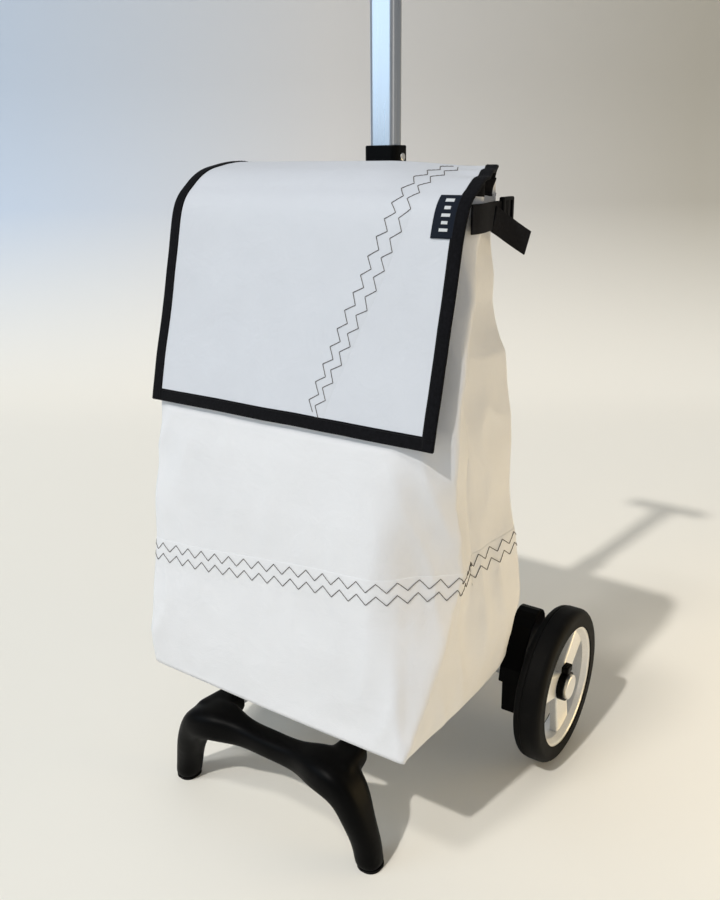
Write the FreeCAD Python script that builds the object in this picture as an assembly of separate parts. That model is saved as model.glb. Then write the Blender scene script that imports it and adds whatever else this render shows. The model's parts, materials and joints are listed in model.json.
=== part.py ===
import FreeCAD, Part
import math
import os

from FreeCAD import Vector

# A two-wheeled shopping trolley: a sailcloth bag on a telescopic aluminium mast,
# with a fold-up platform that ends in a moulded front foot.
# Millimetres. X runs to the right, the front of the bag faces -Y, +Z is up.
# The origin is on the floor, at the middle of the overall outline.

# ---- driving dimensions ----
OVERALL_DEPTH = 370.0
WHEEL_R = 86.0
TYRE_IN_X = 180.0
TYRE_OUT_X = 210.0
RIM_SEAT_R = 66.8
RIM_BARREL_R = 60.5
RIM_IN_X = 182.0
RIM_OUT_X = 208.6
SPOKE_IN_X = 193.0
SPOKE_OUT_X = 201.5
SPOKE_COUNT = 3
SPOKE_FIRST_DEG = 42.0
SPOKE_HUB_W = 27.0
SPOKE_RIM_W = 33.0
HUB_R = 16.3
HUB_OUT_X = 209.0
CAP_R = 13.8
CAP_OUT_X = 212.6
BUSH_R = 9.0
AXLE_R = 5.0
AXLE_TUBE_R = 10.0
AXLE_END_X = 206.0
RUNNING_GAP = 0.05
AXLE_Y = OVERALL_DEPTH / 2 - WHEEL_R
AXLE_Z = WHEEL_R
BRACKET_IN_X = 152.0
BRACKET_OUT_X = 176.0
WASHER_OUT_X = 178.5
CLIP_SLOT_X = (203.2, 207.8)
CLIP_SLOT_HALF_Y = 3.2
CLIP_HEAD_HALF_Y = 6.5
TYRE_SHOULDER = 8.0

MAST_Y = 54.0
MAST_BASE_Z = 74.0
OUTER_W = 33.4
OUTER_D = 20.4
INNER_W = 30.0
INNER_D = 17.0
TUBE_WALL = 1.3
TUBE_CORNER = 6.0
OUTER_TOP_Z = 640.0
COLLAR_W = 38.0
COLLAR_D = 25.0
COLLAR_BASE_Z = 622.0
COLLAR_TOP_Z = 652.0
BUTTON_Z = 641.0
BUTTON_R = 3.75
BUTTON_PROUD = 1.4
INNER_BASE_Z = 520.0
INNER_TOP_Z = 984.0
GUIDE_H = 20.0
HANDLE_Z = 1003.0
HANDLE_HALF = 66.0
GRIP_R = 14.5
GRIP_START_X = 19.5
CORE_R = 8.0
HANDLE_SOCKET_BASE_Z = 960.0

ARM_X = 74.0
ARM_Z = 92.0
ARM_TUBE_R = 8.5
ARM_BORE_R = 7.0
PIVOT_Y = 50.0
EYE_R = 12.0
EYE_HALF = 9.0
LUG_GAP = 0.3
LUG_T = 5.2
PIN_R = 4.0
ARM_FRONT_Y = -148.0
FOOT_PAD_T = 2.5
FOOT_SOCKET_Y = (-162.0, -124.0)
FOOT_SOCKET_X = ((62.0, 99.0), (62.5, 94.0))
FOOT_SOCKET_Z = ((74.0, 103.5), (80.0, 103.0))
FOOT_SCREW_R = 2.0
FOOT_SCREW_Y = ARM_FRONT_Y + 16.0

CLOTH = 2.5
BAG_BASE_Z = 131.0
FLAP_HALF = 162.0
BINDING_W = 11.5
BINDING_PROUD = 0.55
HEM_H = 24.0
HEM_T = 1.2
STRAP_H = 24.0
STRAP_T = 1.6
STRAP_Z = 592.0
TAIL_L = 40.0
BUCKLE_Y = (3.5, 25.5)
BUCKLE_H = 30.0
BUCKLE_T = 5.0
MAST_STRAP_H = 25.0
MAST_STRAP_Z = {"upper": 590.0, "lower": 440.0}

# Right half of the bridge-shaped foot, from its middle to the sole of the leg:
# (x, z, path angle in degrees, thickness, depth, middle y, corner radius as a share of thickness)
FOOT_STATIONS = [
    (0.0, 86.5, 0.0, 24.0, 26.0, -160.0, 0.34),
    (38.0, 86.5, -1.0, 28.0, 28.0, -159.5, 0.34),
    (62.0, 88.5, -8.0, 32.0, 41.0, -161.0, 0.34),
    (85.0, 84.5, -36.0, 34.0, 43.0, -162.8, 0.36),
    (98.5, 70.0, -62.0, 30.0, 39.0, -162.4, 0.40),
    (107.0, 52.0, -73.0, 27.5, 34.0, -163.0, 0.44),
    (113.0, 34.0, -78.0, 26.5, 30.0, -162.0, 0.45),
    (117.0, 16.0, -82.0, 26.5, 28.0, -161.0, 0.45),
    (119.5, FOOT_PAD_T, -90.0, 26.0, 27.0, -160.5, 0.45),
]

# Outer outline of the bag: (z, bend x, front y, corner x, corner y, rear x, rear y).
# The front panel bends back at the bend and meets the side at the corner.
BAG_SECTIONS = [
    (BAG_BASE_Z, 144.0, -163.0, 157.0, -152.0, 157.0, 33.0),
    (200.0, 128.0, -156.0, 164.0, -127.0, 165.0, 35.0),
    (260.0, 116.0, -149.0, 167.5, -97.0, 169.0, 36.0),
    (413.0, 116.0, -122.0, 166.0, -100.0, 155.0, 36.0),
    (560.0, 130.0, -83.0, 150.0, -66.0, 138.0, 34.0),
    (600.0, 132.0, -66.0, 146.0, -48.0, 138.0, 25.0),
    (622.0, 130.0, -44.0, 144.0, -32.0, 140.0, 12.0),
]
BAG_CORNER_R = 6.5

# Outer face of the flap seen from the side: (y, z) from the rear edge over the top to the front hem
FLAP_CURVE = [
    (13.0, 638.0),
    (-19.0, 634.0),
    (-41.0, 629.0),
    (-60.0, 617.5),
    (-79.0, 597.0),
    (-93.0, 547.0),
    (-107.0, 494.0),
    (-119.0, 451.0),
    (-128.5, 413.0),
]

SIDES = {"left": -1.0, "right": 1.0}

os.makedirs("parts", exist_ok=True)


def export(name, shape):
    shape.exportStep("parts/" + name + ".step")


def box(low, high):
    size = [b - a for a, b in zip(low, high)]
    return Part.makeBox(size[0], size[1], size[2], Vector(*low))


def rod_x(radius, x_a, x_b, y, z):
    start = Vector(min(x_a, x_b), y, z)
    return Part.makeCylinder(radius, abs(x_b - x_a), start, Vector(1, 0, 0))


def rod_y(radius, y_a, y_b, x, z):
    return Part.makeCylinder(radius, y_b - y_a, Vector(x, y_a, z), Vector(0, 1, 0))


def mirrored(shape):
    return shape.mirror(Vector(0, 0, 0), Vector(1, 0, 0))


def export_pair(name, shape):
    """Writes a right-hand piece and its mirror image."""
    export(name + "_right", shape)
    export(name + "_left", mirrored(shape))


def rounded_outline(points_at, half_a, half_b, radius):
    """A closed rounded rectangle; points_at turns local (a, b) into a 3D point."""
    mid = radius * (1.0 - math.sqrt(0.5))
    edges = []
    corners = [(1, 1), (-1, 1), (-1, -1), (1, -1)]
    for index, (sa, sb) in enumerate(corners):
        along_a = points_at(sa * (half_a - radius), sb * half_b)
        along_b = points_at(sa * half_a, sb * (half_b - radius))
        bend = points_at(sa * (half_a - mid), sb * (half_b - mid))
        first, last = (along_b, along_a) if index % 2 == 0 else (along_a, along_b)
        edges.append(Part.Arc(first, bend, last).toShape())
        na, nb = corners[(index + 1) % 4]
        if index % 2 == 0:
            following = points_at(na * (half_a - radius), nb * half_b)
        else:
            following = points_at(na * half_a, nb * (half_b - radius))
        edges.append(Part.LineSegment(last, following).toShape())
    return Part.Wire(edges)


def upright_outline(half_x, half_y, y, z, radius):
    return rounded_outline(lambda a, b: Vector(a, y + b, z), half_x, half_y, radius)


def upright_bar(width, depth, y, z_low, z_high, radius):
    """A rounded rectangular bar that stands along Z at x = 0."""
    wire = upright_outline(width / 2, depth / 2, y, z_low, radius)
    return Part.Face(wire).extrude(Vector(0, 0, z_high - z_low))


def upright_tube(width, depth, wall, y, z_low, z_high, radius):
    outer = upright_bar(width, depth, y, z_low, z_high, radius)
    inner = upright_bar(width - 2 * wall, depth - 2 * wall, y, z_low - 1, z_high + 1, radius - wall)
    return outer.cut(inner)


def side_plate(points, x_low, x_high):
    """A plate cut to an outline in the YZ plane, from x_low to x_high."""
    wire = Part.makePolygon([Vector(x_low, y, z) for y, z in points + points[:1]])
    return Part.Face(wire).extrude(Vector(x_high - x_low, 0, 0))


def turned_x(points):
    """A ring turned about the wheel axle from an outline of (x, radius) points."""
    wire = Part.makePolygon([Vector(x, AXLE_Y, AXLE_Z + r) for x, r in points + points[:1]])
    return Part.Face(wire).revolve(Vector(0, AXLE_Y, AXLE_Z), Vector(1, 0, 0), 360)


def fillet_where(shape, radius, wanted):
    edges = [edge for edge in shape.Edges if wanted(edge)]
    return shape.makeFillet(radius, edges)


def on_x_plane(x):
    return lambda edge: all(abs(v.Point.x - x) < 0.01 for v in edge.Vertexes)


# ---- wheels ----
def tyre():
    groove_x = TYRE_IN_X + 9.0
    points = [(TYRE_IN_X, RIM_SEAT_R), (TYRE_OUT_X, RIM_SEAT_R)]
    for step in range(7):
        turn = math.radians(90.0 * step / 6)
        points.append((TYRE_OUT_X - TYRE_SHOULDER * (1 - math.cos(turn)),
                       WHEEL_R - TYRE_SHOULDER * (1 - math.sin(turn))))
    points.append((groove_x + 1.4, WHEEL_R))
    points.append((groove_x, WHEEL_R - 1.2))
    points.append((groove_x - 1.4, WHEEL_R - 0.5))
    for step in range(7):
        turn = math.radians(90.0 * step / 6)
        points.append((TYRE_IN_X + TYRE_SHOULDER * (1 - math.sin(turn)),
                       WHEEL_R - 0.5 - TYRE_SHOULDER * (1 - math.cos(turn))))
    return turned_x(points)


def rim():
    barrel = turned_x([
        (RIM_IN_X, RIM_SEAT_R),
        (RIM_OUT_X, RIM_SEAT_R),
        (RIM_OUT_X, RIM_SEAT_R - 1.6),
        (RIM_OUT_X - 1.2, RIM_SEAT_R - 3.0),
        (SPOKE_OUT_X + 0.5, RIM_BARREL_R),
        (SPOKE_IN_X - 1.5, RIM_BARREL_R),
        (RIM_IN_X, RIM_SEAT_R - 3.2),
    ])
    boss = rod_x(HUB_R, TYRE_IN_X - 0.5, SPOKE_OUT_X, AXLE_Y, AXLE_Z)
    shape = barrel.fuse(boss)
    reach = RIM_BARREL_R + 2.0
    for index in range(SPOKE_COUNT):
        spoke = Part.Face(Part.makePolygon([
            Vector(SPOKE_IN_X, AXLE_Y, AXLE_Z - SPOKE_HUB_W / 2),
            Vector(SPOKE_IN_X, AXLE_Y + reach, AXLE_Z - SPOKE_RIM_W / 2),
            Vector(SPOKE_IN_X, AXLE_Y + reach, AXLE_Z + SPOKE_RIM_W / 2),
            Vector(SPOKE_IN_X, AXLE_Y, AXLE_Z + SPOKE_HUB_W / 2),
            Vector(SPOKE_IN_X, AXLE_Y, AXLE_Z - SPOKE_HUB_W / 2),
        ])).extrude(Vector(SPOKE_OUT_X - SPOKE_IN_X, 0, 0))
        along = [edge for edge in spoke.Edges
                 if abs(edge.Length - math.hypot(reach, (SPOKE_RIM_W - SPOKE_HUB_W) / 2)) < 0.01
                 and on_x_plane(SPOKE_OUT_X)(edge)]
        spoke = spoke.makeFillet(2.5, along)
        turn = SPOKE_FIRST_DEG + index * 360.0 / SPOKE_COUNT
        spoke.rotate(Vector(0, AXLE_Y, AXLE_Z), Vector(1, 0, 0), turn)
        shape = shape.fuse(spoke)
    bore = rod_x(BUSH_R, TYRE_IN_X - 2, SPOKE_OUT_X + 2, AXLE_Y, AXLE_Z)
    return shape.cut(bore).removeSplitter()


def wheel_bush():
    outer = rod_x(BUSH_R, TYRE_IN_X, SPOKE_OUT_X, AXLE_Y, AXLE_Z)
    return outer.cut(rod_x(AXLE_R + RUNNING_GAP, TYRE_IN_X - 1, SPOKE_OUT_X + 1, AXLE_Y, AXLE_Z))


def hub():
    """The black hub body outside the spokes, with a slot for the release clip."""
    shape = rod_x(HUB_R, SPOKE_OUT_X, HUB_OUT_X, AXLE_Y, AXLE_Z)
    shape = shape.cut(rod_x(AXLE_R + 0.8, SPOKE_OUT_X - 1, HUB_OUT_X - 1.5, AXLE_Y, AXLE_Z))
    slot = box((CLIP_SLOT_X[0], AXLE_Y - CLIP_SLOT_HALF_Y, AXLE_Z),
               (CLIP_SLOT_X[1], AXLE_Y + CLIP_SLOT_HALF_Y, AXLE_Z + HUB_R + 2))
    return shape.cut(slot)


def release_clip():
    gap = 0.3
    stem = box((CLIP_SLOT_X[0] + gap, AXLE_Y - CLIP_SLOT_HALF_Y + gap, AXLE_Z + 10.0),
               (CLIP_SLOT_X[1] - gap, AXLE_Y + CLIP_SLOT_HALF_Y - gap, AXLE_Z + 19.0))
    head = box((SPOKE_OUT_X + 0.6, AXLE_Y - CLIP_HEAD_HALF_Y, AXLE_Z + 18.7),
               (HUB_OUT_X + 1.4, AXLE_Y + CLIP_HEAD_HALF_Y, AXLE_Z + 25.5))
    head = fillet_where(head, 1.6, lambda edge: edge.CenterOfMass.z > AXLE_Z + 20)
    for offset in (-3.0, 0.0, 3.0):
        head = head.cut(box((SPOKE_OUT_X, AXLE_Y + offset - 0.5, AXLE_Z + 24.9),
                            (CAP_OUT_X, AXLE_Y + offset + 0.5, AXLE_Z + 27.0)))
    return head.fuse(stem)


def hub_cap():
    disc = rod_x(CAP_R, HUB_OUT_X, CAP_OUT_X, AXLE_Y, AXLE_Z)
    return fillet_where(disc, 1.4, on_x_plane(CAP_OUT_X))


# ---- rear frame ----
def wheel_bracket():
    """Moulded bracket inside the wheel: a lower block round the axle and a tall rounded lug."""
    lug_top_y, lug_top_z, lug_r = AXLE_Y - 11.0, 158.0, 17.0
    points = [
        (AXLE_Y - 49.0, 64.0),
        (AXLE_Y - 50.0, 104.0),
        (AXLE_Y - 60.0, 106.0),
        (AXLE_Y - 57.0, 122.0),
        (AXLE_Y - 34.0, 163.0),
    ]
    for step in range(7):
        turn = math.radians(140.0 - 140.0 * step / 6)
        points.append((lug_top_y + lug_r * math.cos(turn), lug_top_z + lug_r * math.sin(turn)))
    points.extend([
        (AXLE_Y + 12.0, 112.0),
        (AXLE_Y + 17.0, 86.0),
        (AXLE_Y + 11.0, 70.0),
        (AXLE_Y - 4.0, 62.0),
        (AXLE_Y - 42.0, 60.0),
    ])
    plate = side_plate(points, BRACKET_IN_X, BRACKET_OUT_X)
    rims = [e for e in plate.Edges if on_x_plane(BRACKET_IN_X)(e) or on_x_plane(BRACKET_OUT_X)(e)]
    plate = plate.makeFillet(2.0, rims)
    return plate.cut(rod_x(AXLE_R, BRACKET_IN_X - 1, BRACKET_OUT_X + 1, AXLE_Y, AXLE_Z))


def axle_tube():
    outer = rod_x(AXLE_TUBE_R, -BRACKET_IN_X, BRACKET_IN_X, AXLE_Y, AXLE_Z)
    return outer.cut(rod_x(AXLE_R, -BRACKET_IN_X - 1, BRACKET_IN_X + 1, AXLE_Y, AXLE_Z))


def axle_washers():
    """One thrust washer between each bracket and its wheel."""
    pieces = []
    for side in SIDES.values():
        ring = rod_x(AXLE_R + 5, side * BRACKET_OUT_X, side * WASHER_OUT_X, AXLE_Y, AXLE_Z)
        hole = rod_x(AXLE_R, side * (BRACKET_OUT_X - 1), side * (WASHER_OUT_X + 1), AXLE_Y, AXLE_Z)
        pieces.append(ring.cut(hole))
    return Part.makeCompound(pieces)


def strap_between(y_a, z_a, r_a, y_b, z_b, r_b, x_low, x_high):
    """Two round ends joined by a block with tangent sides, like a flat belt over two pulleys."""
    ends = rod_x(r_a, x_low, x_high, y_a, z_a).fuse(rod_x(r_b, x_low, x_high, y_b, z_b))
    span = math.hypot(y_b - y_a, z_b - z_a)
    lean = math.atan2(z_b - z_a, y_b - y_a)
    opening = math.acos((r_a - r_b) / span)
    points = []
    for y, z, r, turn in ((y_a, z_a, r_a, lean + opening), (y_b, z_b, r_b, lean + opening),
                          (y_b, z_b, r_b, lean - opening), (y_a, z_a, r_a, lean - opening)):
        points.append((y + r * math.cos(turn), z + r * math.sin(turn)))
    return ends.fuse(side_plate(points, x_low, x_high)).removeSplitter()


def hinge_block():
    """Clamp on the axle tube that carries one arm's pivot between two ears."""
    half = EYE_HALF + LUG_GAP + LUG_T
    shape = strap_between(AXLE_Y, AXLE_Z, 15.0, PIVOT_Y, ARM_Z, EYE_R, ARM_X - half, ARM_X + half)
    slot_half = EYE_HALF + LUG_GAP
    slot = rod_x(EYE_R + 1.0, ARM_X - slot_half, ARM_X + slot_half, PIVOT_Y, ARM_Z)
    slot = slot.fuse(box((ARM_X - slot_half, PIVOT_Y - 30, ARM_Z - EYE_R - 4),
                         (ARM_X + slot_half, PIVOT_Y, ARM_Z + EYE_R + 4)))
    slot = slot.fuse(box((ARM_X - slot_half, PIVOT_Y - 30, ARM_Z),
                         (ARM_X + slot_half, PIVOT_Y + EYE_R + 1, ARM_Z + EYE_R + 4)))
    shape = shape.cut(slot)
    shape = shape.cut(rod_x(AXLE_TUBE_R, ARM_X - half - 1, ARM_X + half + 1, AXLE_Y, AXLE_Z))
    return shape.cut(rod_x(PIN_R, ARM_X - half - 1, ARM_X + half + 1, PIVOT_Y, ARM_Z))


def pivot_pin():
    half = EYE_HALF + LUG_GAP + LUG_T
    shaft = rod_x(PIN_R, ARM_X - half, ARM_X + half, PIVOT_Y, ARM_Z)
    head = rod_x(PIN_R + 2.5, ARM_X + half, ARM_X + half + 2.2, PIVOT_Y, ARM_Z)
    head = fillet_where(head, 1.2, on_x_plane(ARM_X + half + 2.2))
    return shaft.fuse(head)


def mast_socket():
    """Moulded foot of the mast, clamped on the middle of the axle tube."""
    shape = strap_between(AXLE_Y, AXLE_Z, 16.0, MAST_Y, AXLE_Z, 15.0, -22.0, 22.0)
    sleeve = upright_bar(OUTER_W + 9.0, OUTER_D + 9.0, MAST_Y, 66.0, 150.0, 8.0)
    shape = shape.fuse(sleeve)
    shape = shape.cut(upright_bar(OUTER_W, OUTER_D, MAST_Y, MAST_BASE_Z, 200.0, TUBE_CORNER))
    return shape.cut(rod_x(AXLE_TUBE_R, -30, 30, AXLE_Y, AXLE_Z))


# ---- platform ----
def arm_tube():
    outer = rod_y(ARM_TUBE_R, ARM_FRONT_Y, PIVOT_Y - EYE_R - 2.0, ARM_X, ARM_Z)
    return outer.cut(rod_y(ARM_BORE_R, ARM_FRONT_Y - 1, PIVOT_Y, ARM_X, ARM_Z))


def arm_eye():
    """Moulded end piece: an eye on the pivot pin with a plug in the arm tube."""
    eye = rod_x(EYE_R, ARM_X - EYE_HALF, ARM_X + EYE_HALF, PIVOT_Y, ARM_Z)
    plug = rod_y(ARM_BORE_R, PIVOT_Y - 52.0, PIVOT_Y - 6.0, ARM_X, ARM_Z)
    collar = rod_y(ARM_TUBE_R, PIVOT_Y - EYE_R - 2.0, PIVOT_Y - 4.0, ARM_X, ARM_Z)
    shape = eye.fuse(plug).fuse(collar)
    return shape.cut(rod_x(PIN_R + RUNNING_GAP, ARM_X - 20, ARM_X + 20, PIVOT_Y, ARM_Z))


def foot_section(x, z, turn, thickness, depth, y, roundness):
    """Rounded section across the foot's path; the path lies in the XZ plane."""
    turn = math.radians(turn)
    across = Vector(-math.sin(turn), 0, math.cos(turn))
    centre = Vector(x, y, z)
    corner = roundness * thickness
    return rounded_outline(lambda a, b: centre + across * a + Vector(0, b, 0),
                           thickness / 2, depth / 2, corner)


def foot_socket():
    """Tapered block behind the right shoulder that takes the end of the arm tube."""
    wires = []
    for y, (x_low, x_high), (z_low, z_high) in zip(FOOT_SOCKET_Y, FOOT_SOCKET_X, FOOT_SOCKET_Z):
        middle = Vector((x_low + x_high) / 2, y, (z_low + z_high) / 2)
        half_x, half_z = (x_high - x_low) / 2, (z_high - z_low) / 2
        wires.append(rounded_outline(lambda a, b: middle + Vector(a, 0, b), half_x, half_z, 9.0))
    block = Part.makeLoft(wires, True, True)
    return fillet_where(block, 3.0, lambda e: abs(e.CenterOfMass.y - FOOT_SOCKET_Y[1]) < 0.01)


def front_foot():
    stations = []
    for x, z, turn, *rest in reversed(FOOT_STATIONS[1:]):
        stations.append((-x, z, -turn, *rest))
    stations.extend(FOOT_STATIONS)
    shape = Part.makeLoft([foot_section(*station) for station in stations], True, False)
    shape = shape.fuse(foot_socket()).fuse(mirrored(foot_socket()))
    for side in SIDES.values():
        bore_end = FOOT_SOCKET_Y[1] + 14
        shape = shape.cut(rod_y(ARM_TUBE_R, ARM_FRONT_Y, bore_end, side * ARM_X, ARM_Z))
        hole_base = Vector(side * ARM_X, FOOT_SCREW_Y, ARM_Z - 30)
        shape = shape.cut(Part.makeCylinder(FOOT_SCREW_R, 30.0, hole_base))
    return shape


def foot_screws():
    """One screw from below through each socket against its arm tube."""
    slope = (FOOT_SOCKET_Z[1][0] - FOOT_SOCKET_Z[0][0]) / (FOOT_SOCKET_Y[1] - FOOT_SOCKET_Y[0])
    head_top = FOOT_SOCKET_Z[0][0] + slope * (FOOT_SCREW_Y - FOOT_SOCKET_Y[0]) - 0.6
    base = Vector(ARM_X, FOOT_SCREW_Y, head_top - 1.8)
    head = Part.makeCylinder(3.6, 1.8, base)
    screw = head.fuse(Part.makeCylinder(FOOT_SCREW_R, ARM_Z - ARM_TUBE_R - 0.05 - base.z, base))
    return Part.makeCompound([screw, mirrored(screw)])


def foot_pad():
    x, _, _, thickness, depth, y, _ = FOOT_STATIONS[-1]
    half_x, half_y = thickness / 2 - 0.8, depth / 2 - 0.8
    wire = rounded_outline(lambda a, b: Vector(x + a, y + b, 0), half_x, half_y, 11.0)
    pad = Part.Face(wire).extrude(Vector(0, 0, FOOT_PAD_T))
    return fillet_where(pad, 0.8, lambda edge: abs(edge.CenterOfMass.z) < 0.01)


# ---- mast and handle ----
def mast_collar():
    shape = upright_bar(COLLAR_W, COLLAR_D, MAST_Y, COLLAR_BASE_Z, COLLAR_TOP_Z, 7.0)
    shape = fillet_where(shape, 1.5, lambda e: abs(e.CenterOfMass.z - COLLAR_TOP_Z) < 0.01)
    shape = shape.cut(upright_bar(OUTER_W, OUTER_D, MAST_Y, COLLAR_BASE_Z - 1, OUTER_TOP_Z - 9.0,
                                  TUBE_CORNER))
    shape = shape.cut(upright_bar(INNER_W + 0.7, INNER_D + 0.7, MAST_Y, COLLAR_BASE_Z,
                                  COLLAR_TOP_Z + 1, TUBE_CORNER))
    return shape.cut(rod_x(BUTTON_R + RUNNING_GAP, 10.0, 30.0, MAST_Y, BUTTON_Z))


def lock_button():
    shape = rod_x(BUTTON_R, COLLAR_W / 2 - 2.0, COLLAR_W / 2 + BUTTON_PROUD, MAST_Y, BUTTON_Z)
    return fillet_where(shape, 0.9, on_x_plane(COLLAR_W / 2 + BUTTON_PROUD))


def handle_socket():
    sleeve = upright_bar(INNER_W + 7.0, INNER_D + 7.0, MAST_Y, HANDLE_SOCKET_BASE_Z, HANDLE_Z, 8.0)
    head = rod_x(GRIP_R + 0.5, -GRIP_START_X, GRIP_START_X, MAST_Y, HANDLE_Z)
    shape = sleeve.fuse(head)
    shape = shape.cut(upright_bar(INNER_W, INNER_D, MAST_Y, HANDLE_SOCKET_BASE_Z - 1, INNER_TOP_Z,
                                  TUBE_CORNER))
    return shape.cut(rod_x(CORE_R, -30, 30, MAST_Y, HANDLE_Z))


def handle_core():
    outer = rod_x(CORE_R, -HANDLE_HALF, HANDLE_HALF, MAST_Y, HANDLE_Z)
    return outer.cut(rod_x(CORE_R - 1.5, -HANDLE_HALF - 1, HANDLE_HALF + 1, MAST_Y, HANDLE_Z))


def handle_grip():
    """Soft grip, slightly barrelled, with shallow rings."""
    points = [Vector(GRIP_START_X, MAST_Y, HANDLE_Z + CORE_R)]
    steps = 24
    length = HANDLE_HALF - GRIP_START_X
    for step in range(steps + 1):
        share = step / steps
        swell = GRIP_R - 1.6 * (2 * share - 1) ** 2
        if step % 4 == 2:
            swell -= 0.6
        points.append(Vector(GRIP_START_X + share * length, MAST_Y, HANDLE_Z + swell))
    points.append(Vector(HANDLE_HALF, MAST_Y, HANDLE_Z + CORE_R))
    face = Part.Face(Part.makePolygon(points + points[:1]))
    return face.revolve(Vector(0, MAST_Y, HANDLE_Z), Vector(1, 0, 0), 360)


def handle_end_cap():
    disc = rod_x(GRIP_R - 1.2, HANDLE_HALF, HANDLE_HALF + 4.0, MAST_Y, HANDLE_Z)
    disc = fillet_where(disc, 2.5, on_x_plane(HANDLE_HALF + 4.0))
    plug = rod_x(CORE_R - 1.5, HANDLE_HALF - 12.0, HANDLE_HALF + 1.0, MAST_Y, HANDLE_Z)
    return disc.fuse(plug)


def handle_screws():
    """Two screws through the back of the socket into the inner tube."""
    pieces = []
    for z in (HANDLE_SOCKET_BASE_Z + 8.0, HANDLE_SOCKET_BASE_Z + 18.0):
        y_face = MAST_Y + (INNER_D + 7.0) / 2
        head = rod_y(3.2, y_face, y_face + 1.8, 0.0, z)
        pieces.append(head)
    return Part.makeCompound(pieces)


# ---- bag ----
def moved_inwards(points, distance):
    """A convex outline, listed counter-clockwise, with every side moved inwards."""
    moved = []
    for index, here in enumerate(points):
        before = points[index - 1]
        after = points[(index + 1) % len(points)]
        ahead = [(here - before).normalize(), (after - here).normalize()]
        inward = [Vector(-a.y, a.x, 0) for a in ahead]
        reach = distance / (1.0 + inward[0].dot(inward[1]))
        moved.append(here + (inward[0] + inward[1]) * reach)
    return moved


def rounded_polygon(points, radius):
    """A closed outline of straight sides joined by arcs."""
    ends = []
    edges = []
    for index, here in enumerate(points):
        back = (points[index - 1] - here).normalize()
        on = (points[(index + 1) % len(points)] - here).normalize()
        half_angle = back.getAngle(on) / 2
        tangent = radius / math.tan(half_angle)
        middle = (back + on).normalize() * (radius / math.sin(half_angle) - radius)
        first = here + back * tangent
        last = here + on * tangent
        edges.append(Part.Arc(first, here + middle, last).toShape())
        ends.append((first, last))
    for index, (_, last) in enumerate(ends):
        following = ends[(index + 1) % len(ends)][0]
        edges.insert(2 * index + 1, Part.LineSegment(last, following).toShape())
    return Part.Wire(edges)


def bag_outline(z, inset):
    """The bag's outline at a height, moved inwards by inset."""
    bend_x, front, corner_x, corner_y, rear_x, rear = bag_level(z)
    right = [(rear_x, rear), (corner_x, corner_y), (bend_x, front)]
    points = [Vector(-x, y, z) for x, y in right] + [Vector(x, y, z) for x, y in reversed(right)]
    return rounded_polygon(moved_inwards(points, inset), BAG_CORNER_R - 0.6 * inset)


def bag_level(z):
    """The bag's outline sizes at any height, between the listed sections."""
    for low, high in zip(BAG_SECTIONS, BAG_SECTIONS[1:]):
        if low[0] <= z <= high[0]:
            share = (z - low[0]) / (high[0] - low[0])
            return [a + (b - a) * share for a, b in zip(low[1:], high[1:])]
    return list(BAG_SECTIONS[-1][1:])


def bag_body():
    levels = [section[0] for section in BAG_SECTIONS]
    outer = Part.makeLoft([bag_outline(z, 0.0) for z in levels], True, True)
    levels[0] += CLOTH
    levels.append(levels[-1] + 5.0)
    return outer.cut(Part.makeLoft([bag_outline(z, CLOTH) for z in levels], True, True))


def bag_hem():
    """Bound edge round the mouth of the bag, outside the cloth."""
    mouth_z = BAG_SECTIONS[-1][0]
    levels = [mouth_z - HEM_H, BAG_SECTIONS[-2][0], mouth_z]
    outer = Part.makeLoft([bag_outline(z, -HEM_T) for z in levels], True, True)
    inner = Part.makeLoft([bag_outline(z, 0.0) for z in levels], True, True)
    return outer.cut(inner)


def flap_offset(depth):
    """The flap's side curve moved inwards by depth, square to each point."""
    moved = []
    last = len(FLAP_CURVE) - 1
    for index, (y, z) in enumerate(FLAP_CURVE):
        before = FLAP_CURVE[max(index - 1, 0)]
        after = FLAP_CURVE[min(index + 1, last)]
        run = math.hypot(after[0] - before[0], after[1] - before[1])
        ahead = ((after[0] - before[0]) / run, (after[1] - before[1]) / run)
        moved.append((y - ahead[1] * depth, z + ahead[0] * depth))
    return moved


def flap_slab(outer_depth, inner_depth, half):
    """A curved slab between two offsets of the flap's side curve."""
    edges = []
    ends = []
    for depth in (outer_depth, inner_depth):
        curve = Part.BSplineCurve()
        points = [Vector(-half, y, z) for y, z in flap_offset(depth)]
        curve.interpolate(points)
        edges.append(curve.toShape())
        ends.append((points[0], points[-1]))
    edges.append(Part.LineSegment(ends[0][1], ends[1][1]).toShape())
    edges.append(Part.LineSegment(ends[1][0], ends[0][0]).toShape())
    wire = Part.Wire(Part.__sortEdges__(edges))
    return Part.Face(wire).extrude(Vector(2 * half, 0, 0))


def flap_bounds():
    """The space of the flap inside its binding."""
    hem_z = FLAP_CURVE[-1][1] + BINDING_W
    half = FLAP_HALF - BINDING_W
    return box((-half, -300.0, hem_z), (half, 100.0, 700.0))


def flap_panel():
    return flap_slab(0.0, CLOTH, FLAP_HALF).common(flap_bounds())


def flap_binding():
    slab = flap_slab(-BINDING_PROUD, CLOTH + BINDING_PROUD, FLAP_HALF)
    return slab.cut(flap_bounds())


def woven_tab():
    """Plain woven tab stitched on the flap beside its right-hand binding."""
    skin = flap_slab(-0.9, -0.05, FLAP_HALF)
    return skin.common(box((FLAP_HALF - BINDING_W - 19.0, -200.0, 578.0),
                           (FLAP_HALF - BINDING_W - 0.2, -60.0, 611.0)))


def strap_x():
    """Inner face of the webbing, just clear of the side of the bag."""
    return bag_level(STRAP_Z - BUCKLE_H / 2)[2] + 0.2


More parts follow.
